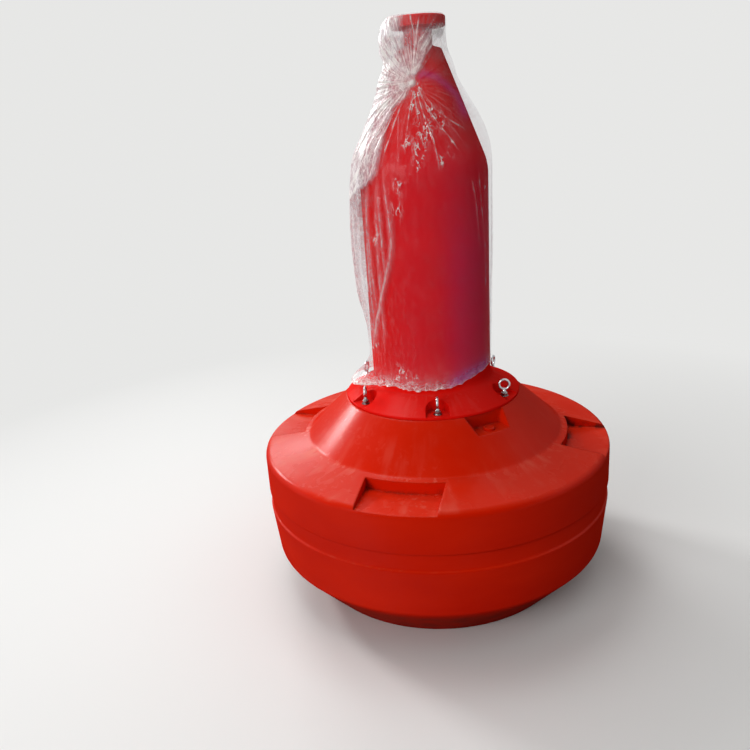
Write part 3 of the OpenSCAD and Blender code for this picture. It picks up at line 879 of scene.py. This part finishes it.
# The long fold that runs down across the column to the slack side
LONG_FOLD = [(0.861, -143), (0.997, -124), (1.092, -115), (1.164, -109), (1.212, -107), (1.295, -108),
             (1.397, -112)]
body = hump(film_z, 1.12, 0.28, 6)
across = film_r * wrapped(film_turn - np.radians(np.interp(film_z, *zip(*LONG_FOLD))))
fold_h = np.maximum(fold_h, 0.007 * body * fold_shape(across / 0.008, 1))
soft_fold = np.maximum(soft_fold, 1.3 * body * hump(across, 0, 0.0085, 2))
crest = np.maximum(crest, 0.60 * broken * body * hump(across, 0, 0.0022, 2))


def crumpled(seeds, paces, squeeze):
    """Sharp ridges between hollows, of two sizes, squeezed in height."""
    coarse, fine = (np.abs(ripple(seed, pace, film_x, film_y, flat * film_z))
                    for seed, pace, flat in zip(seeds, paces, squeeze))
    return 1 - 2 * coarse - fine


# Crumples of the thin film, finest near the hem
crumple = crumpled((1, 2), (50, 140), (0.6, 0.6))
hem_crumple = crumpled((3, 4), (70, 160), (2.6, 2))
pulled = hump(away, 0, 0.26, 3)
fold_h += crumple * (0.0002 + 0.0007 * slack_share ** 2 + 0.0007 * pulled)
hem_band = np.exp(-to_hem / 0.024) * np.maximum(slack_share, 0.8 * slope(-deg, 45, 25))
fold_h += 0.0055 * hem_crumple * hem_band
crush = 0.03 + 0.10 * slack_share ** 3 + 0.5 * hem_band
# Small crushed patches: azimuth in degrees, height, size
for azimuth, height, size in (
    (-81, 1.570, 0.017), (-79, 1.535, 0.022), (-80, 1.500, 0.026), (-81, 1.462, 0.024), (-83, 1.428, 0.018),
    (-72, 1.530, 0.022), (-58, 1.554, 0.021), (-93, 1.498, 0.018), (-52, 1.478, 0.018), (-99, 1.382, 0.022),
    (-101, 1.310, 0.020), (-122, 1.22, 0.020), (-17, 1.34, 0.014), (-62, 1.440, 0.014), (-88, 1.600, 0.014),
    (-109, 0.789, 0.020), (-102, 0.784, 0.016), (-93, 0.772, 0.014), (-83, 1.640, 0.022),
    (-66, 1.585, 0.018),
):
    apart = np.hypot(film_r * wrapped(film_turn - math.radians(azimuth)) * 1.6, film_z - height)
    crush += 1.1 * hump(apart, 0, size, 2)
crush = np.clip(crush, 0, 1)
fold_h += 0.0016 * crumple * crush
fold_h += 0.005 * hump(away, 0, 0.009, 2)

# The hem flares out on the slack side, and nowhere does the film cut into the tower
flare = 0.062 * hump(wrapped(film_turn - math.radians(-163)), 0, math.radians(24))
flare += 0.008 * hump(wrapped(film_turn - math.radians(-118)), 0, math.radians(30))
film_r += fold_h + flare * hump(to_hem, 0, 0.048, 1.6)
tower_rows = rounded(TOWER_ROWS)[1:-1]
tower_r = np.interp(film_z, [p.y for p in tower_rows], [p.x for p in tower_rows])
film_r = np.maximum(film_r, tower_r + FILM_STAND_OFF)

crease = np.zeros(film_z.shape)
crease[1:-1, 1:-1] = np.abs(4 * fold_h[1:-1, 1:-1] - fold_h[:-2, 1:-1] - fold_h[2:, 1:-1]
                            - fold_h[1:-1, :-2] - fold_h[1:-1, 2:])
crease = slope(crease, 0.0008, 0.0035)

# Closed end over the lamp seat, with the weld of the bag across it
CLOSED_END_R = 0.085
top_share = np.linspace(1, 0, FILM_RINGS + 1)[1:-1]
film_top = BAG_ROWS[0][0]
vertices = [(0, 0, film_top + 0.001)]
for share in top_share[::-1]:
    for a, r in zip(columns[:-1], film_r[0, :-1]):
        x, y = share * r * math.cos(a), share * r * math.sin(a)
        weld = WELD_RISE * hump(r * share * math.sin(a - SLACK_TURN), 0, WELD_HALF, 2)
        pucker = 0.0012 * noise.noise((60 * x, 60 * y, 1.3))
        vertices.append((x, y, film_top + weld + pucker * share))
for side_r, side_z in zip(film_r, film_z):
    for a, r, z in zip(columns[:-1], side_r, side_z):
        vertices.append((r * math.cos(a), r * math.sin(a), z))
ring_count = len(top_share) + FILM_SIDE_ROWS


def at(i, j):
    """The number of the point in ring i and column j."""
    return 1 + i * FILM_COLUMNS + j % FILM_COLUMNS


faces = [(0, at(0, j), at(0, j + 1)) for j in range(FILM_COLUMNS)]
for i in range(ring_count - 1):
    faces += [(at(i, j), at(i + 1, j), at(i + 1, j + 1), at(i, j + 1)) for j in range(FILM_COLUMNS)]
film_mesh = bpy.data.meshes.new("film_bag")
film_mesh.from_pydata(vertices, [], faces)
film_bag = bpy.data.objects.new("film_bag", film_mesh)
bpy.context.collection.objects.link(film_bag)

# Where the film is seen on its unrolled surface, in metres from the knot
flat_map = film_mesh.uv_layers.new(name="film_flat")
side_turn = columns - KNOT_TURN
map_u = np.vstack([top_share[::-1, None] * film_r[0] * side_turn, film_r * side_turn])
top_v = film_top - KNOT_Z + (1 - top_share[::-1, None]) * CLOSED_END_R
map_v = np.vstack([np.broadcast_to(top_v, (len(top_share), FILM_COLUMNS + 1)), film_z - KNOT_Z])
corners = []
for j in range(FILM_COLUMNS):
    corners += [(0, map_v[0, 0]), (map_u[0, j], map_v[0, j]), (map_u[0, j + 1], map_v[0, j + 1])]
for i in range(ring_count - 1):
    for j in range(FILM_COLUMNS):
        around = (i, j), (i + 1, j), (i + 1, j + 1), (i, j + 1)
        corners += [(map_u[a, b], map_v[a, b]) for a, b in around]
flat_map.data.foreach_set("uv", np.array(corners, dtype=np.float32).ravel())

# How milky the film is: cloudy where the slack is bunched left of the knot and
# round the neck, clear where it lies close on the cone and the column
HAZE_EDGE = [(1.30, -172), (1.345, -150), (1.375, -130), (1.395, -121), (1.423, -115), (1.491, -112),
             (1.543, -111), (1.595, -106), (1.635, -92), (1.66, -84), (1.70, -76), (1.74, -60),
             (1.775, -40), (1.80, -10), (1.86, 0)]
ragged = ripple(5, 18, film_x, film_y, 0.7 * film_z)
edge_deg = np.interp(film_z, *zip(*HAZE_EDGE)) + 3.5 * ragged
beyond = np.where(deg > 60, deg - 360, deg)
behind = slope(-beyond, 165, 20)
haze = slope(edge_deg, beyond, 7)
haze *= slope(film_z, 1.25 - behind * (0.22 + 0.10 * ragged), 0.12 + 0.30 * behind)
haze *= np.where(deg > 60, np.clip((deg - 60) / 70 + 0.15 * ragged, 0, 1), 1)
milk = 0.008 + haze * (0.29 + 0.22 * slope(-beyond, 95, 45) + 0.04 * hump(film_z, 1.74, 0.05))
milk *= 1 - 0.93 * slope(film_z, 1.802, 0.012) * slope(deg, -124, 24)
milk *= 1 - 0.45 * hump(deg, -92, 22) * hump(film_z, 1.775, 0.030)
milk += 0.30 * hump(deg, -28, 20) * hump(film_z, 1.806, 0.018)
milk += 0.20 * hump(deg, -12, 26) * hump(film_z, 1.775, 0.030)
milk += 0.03 * hump(deg, -6, 12) * (film_z < 1.76)
milk += hump(film_z, 1.14, 0.26, 6) * (0.26 * hump(deg, -158, 24) + 0.14 * soft_fold * (deg < -100))
milk += 0.26 * hem_band + 0.12 * hump(wrapped(film_turn - math.radians(100)), 0, math.radians(80))
milk = np.clip(milk, 0.008, 0.6)
# Painted glints, partly the white of the film's creases: lines along creases and crests, at the knot and
# along the edge of the hem
glints_and_creases = 0.30 * crease * (0.2 + 0.8 * slack_share ** 2) + 0.62 * crest + 0.55 * hump(away, 0, 0.010, 2)
glints_and_creases += 0.30 * hump(to_hem, 0, 0.0025, 2) * (0.4 + 0.6 * slack_share)
glints_and_creases = np.clip(glints_and_creases, 0, 0.9)
# Painted reflection of a blue sky: an arc right of the knot, and the lower right of the column
BLUE_ARC = [(-84, 1.668), (-72, 1.687), (-52, 1.675), (-38, 1.653), (-27, 1.623), (-27, 1.575)]
gap, along = near_line(BLUE_ARC)
blue_reflection = 0.26 * hump(gap, 0, 0.010 + 0.012 * along, 2) * np.clip(along * 8, 0, 1)
blue_reflection += hump(deg, -36, 28) * (0.13 * slope(film_z, 1.50, -0.35) + 0.40 * hump(to_hem, 0, 0.034, 2))
blue_reflection += 0.045 * hump(deg, -55, 62) * slope(film_z, 1.62, -0.20)
blue_reflection = np.clip(blue_reflection, 0, 0.6)
# Where the fine fan of creases shows: strong round the knot, faint on the clear side
rays = hump(away, 0, 0.23, 3) * (0.07 + 0.11 * slope(film_z, 1.74, 0.05)) + 0.04 * pulled
marks = {"milk": milk, "glints_and_creases": glints_and_creases, "blue_reflection": blue_reflection, "crush": crush, "rays": rays, "hem": hem_band}
for name, values in marks.items():
    inner = top_share[::-1, None] ** 2
    values = np.vstack([inner * values[0] + (1 - inner) * values[0].mean(), values])
    layer = film_mesh.attributes.new(name, "FLOAT", "POINT")
    values = np.concatenate([[values[0].mean()], values[:, :-1].ravel()])
    layer.data.foreach_set("value", values.astype(np.float32))


def zero_lines(field, width):
    """Thin lines where a noise crosses its middle value."""
    off_middle = calc("ABSOLUTE", plus(field, -0.5))
    return ramp(off_middle, [(0.0, 1.0), (width, 0.0)])


def pushed_about(coords, scale, reach):
    """Coordinates pushed about by a noise, so that the cells on them lose their straight sides."""
    push = add_node(coords.id_data, "ShaderNodeTexNoise", Vector=coords, Scale=scale, Detail=3)
    return vector_calc("MULTIPLY_ADD", push.outputs["Color"], (reach,) * 3, coords)


def clear_film():
    """Thin clear polyethylene: see-through, milky where it is bunched, with sharp white creases that are
    partly painted glints, and a painted blue reflection.
    """
    mat, shader, coords = new_material("clear_film")
    tree = mat.node_tree
    flat = add_node(tree, "ShaderNodeUVMap", uv_map="film_flat").outputs[0]
    milk_in, glints_and_creases_in, blue_reflection_in, crush_in, rays_in, hem_in = (
        add_node(tree, "ShaderNodeAttribute", attribute_name=name).outputs["Fac"]
        for name in marks)
    # Fine lines that run out from the knot, and upright ones
    rays = noise_of(spokes(flat, 15, 3.5), 1.0, 6)
    fine_lines = zero_lines(noise_of(spokes(flat, 36, 9), 1.0, 4), 0.06)
    ray_lines = calc("MAXIMUM", zero_lines(rays, 0.045), times(fine_lines, 0.8))
    soft_lines = times(ramp(rays, [(0.50, 0.0), (0.74, 1.0)]), 0.6)
    patchy = ramp(noise_of(coords, 28, 3), [(0.35, 0.25), (0.65, 1.0)])
    ray_lines = times(calc("MAXIMUM", ray_lines, soft_lines), patchy)
    upright_lines = zero_lines(noise_of(coords, 42, 4, (1, 1, 0.05)), 0.02)
    lines = calc("MAXIMUM", ray_lines, times(upright_lines, 0.4))
    streaks = times(lines, calc("MAXIMUM", milk_in, rays_in))
    # Edges of small facets and crinkles in the crushed patches, painted white as glints where a noise marks
    # them lit, and crinkle lines along the hem
    drawn_out = vector_calc("MULTIPLY", pushed_about(coords, 30, 0.03), (1, 1, 0.4))
    facets = add_node(tree, "ShaderNodeTexVoronoi", feature="DISTANCE_TO_EDGE", Scale=92, Vector=drawn_out)
    facets = facets.outputs["Distance"]
    lit = ramp(noise_of(coords, 70, 4, (1, 1, 0.4)), [(0.49, 0.0), (0.54, 1.0)])
    crinkle = noise_of(coords, 46, 7, (1, 1, 0.8))
    crinkle_lines = times(zero_lines(crinkle, 0.03), 0.8)
    crushed = calc("MAXIMUM", ramp(facets, [(0.02, 1.0), (0.10, 0.0)]), crinkle_lines)
    hem_lines = zero_lines(noise_of(coords, 44, 6, (1, 1, 2.8)), 0.05)
    hem_lines = times(hem_lines, hem_in, 0.8)
    crushed = calc("MAXIMUM", times(crushed, lit, crush_in), hem_lines)
    # How white it is, and how much it covers: white creases, streaks and crinkles, partly painted glints
    crackle = zero_lines(noise_of(coords, 75, 6, (1, 1, 0.6)), 0.07)
    white = plus(times(streaks, 1.3), times(crushed, 0.85), glints_and_creases_in,
                 times(crackle, milk_in, 0.5))
    cloudy = ramp(noise_of(coords, 40, 5), [(0.38, 0.70), (0.58, 1.12)])
    cover = calc("MINIMUM", plus(times(milk_in, cloudy, 0.9), white), 0.92)
    whiter = calc("MINIMUM", times(white, 1.8), 1.0)
    tone = mixed(whiter, (0.72, 0.60, 0.67), (0.93, 0.89, 0.86))
    heights = plus(times(rays, 0.6), times(crinkle, 0.5),
                   times(calc("MINIMUM", facets, 0.3), crush_in), times(ray_lines, 0.08))
    crumples = bumped(heights, 0.35, 0.003)
    wire(shader, Base_Color=tone, Roughness=0.35, Specular_IOR_Level=0.3, Normal=crumples)
    # The clear sheet, with a painted blue reflection over it, under the white and the gloss
    clear = add_node(tree, "ShaderNodeBsdfTransparent", Color=(0.975, 0.975, 0.98, 1))
    hue = ramp(blue_reflection_in, [(0.12, (0.64, 0.008, 0.24)), (0.34, (0.50, 0.10, 0.54))])
    blue = add_node(tree, "ShaderNodeBsdfPrincipled", Base_Color=hue, Roughness=0.4, Specular_IOR_Level=0.0)
    with_blue_reflection = layered(blue_reflection_in, clear.outputs[0], blue.outputs[0])
    veil = layered(cover, with_blue_reflection, shader.outputs[0])
    gloss = add_node(tree, "ShaderNodeBsdfGlossy", Roughness=0.14, Color=(1, 1, 1, 1), Normal=crumples)
    sheen = calc("MINIMUM", add_node(tree, "ShaderNodeFresnel", IOR=1.27).outputs[0], 0.0055)
    glints = plus(sheen, times(crushed, 0.045), times(streaks, 0.018))
    wire(tree.nodes["Material Output"], Surface=layered(glints, veil, gloss.outputs[0]))
    return mat


film_mesh.materials.append(clear_film())
film_mesh.polygons.foreach_set("use_smooth", [True] * len(faces))
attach(film_bag, "root")
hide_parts("wrap_film")

# Lamp inserts
# Four threaded brass bushes moulded into the lamp seat, for the lantern's bolts.


def insert_brass():
    """Turned brass, dulled in places."""
    mat, shader, coords = new_material("insert_brass")
    cloud = noise_of(coords, 90, 6)
    tone = mixed(ramp(cloud, [(0.35, 0.0), (0.7, 1.0)]), (0.78, 0.56, 0.26), (0.52, 0.35, 0.15))
    wire(shader, Base_Color=tone, Metallic=1.0, Roughness=plus(times(cloud, 0.35), 0.15),
         Normal=bumped(noise_of(coords, 900, 2, (0.2, 0.2, 1)), 0.25, 0.0002))
    return mat


dress("lamp_inserts", insert_brass())

# Mooring fittings
# A plate of hot-dip galvanised steel closes the well under the hull; a lug for
# the chain is welded to it, and bolts hold it up into the plastic.


def galvanised_steel():
    """Hot-dip zinc with its spangle of flat crystals, dull grey between."""
    mat, shader, coords = new_material("galvanised_steel")
    bent = pushed_about(coords, 60, 0.008)
    crystals = add_node(mat.node_tree, "ShaderNodeTexVoronoi", feature="F1", Scale=120, Vector=bent)
    spangle = parts_of(crystals.outputs["Color"])
    cloud = noise_of(coords, 18, 7)
    tone = mixed(spangle["X"], (0.46, 0.48, 0.50), (0.66, 0.68, 0.70))
    tone = mixed(ramp(cloud, [(0.45, 0.0), (0.75, 0.6)]), tone, (0.60, 0.60, 0.59))
    edges = add_node(mat.node_tree, "ShaderNodeBevel", samples=6, Radius=0.0012).outputs[0]
    wire(shader, Base_Color=tone, Metallic=0.9,
         Roughness=plus(times(spangle["Y"], 0.16), times(cloud, 0.30), 0.22),
         Normal=bumped(noise_of(coords, 160, 4), 0.3, 0.0006, Normal=edges))
    return mat


galvanised = galvanised_steel()
for name in ("mooring_plate", "mooring_lug", "mooring_bolts"):
    dress(name, galvanised)
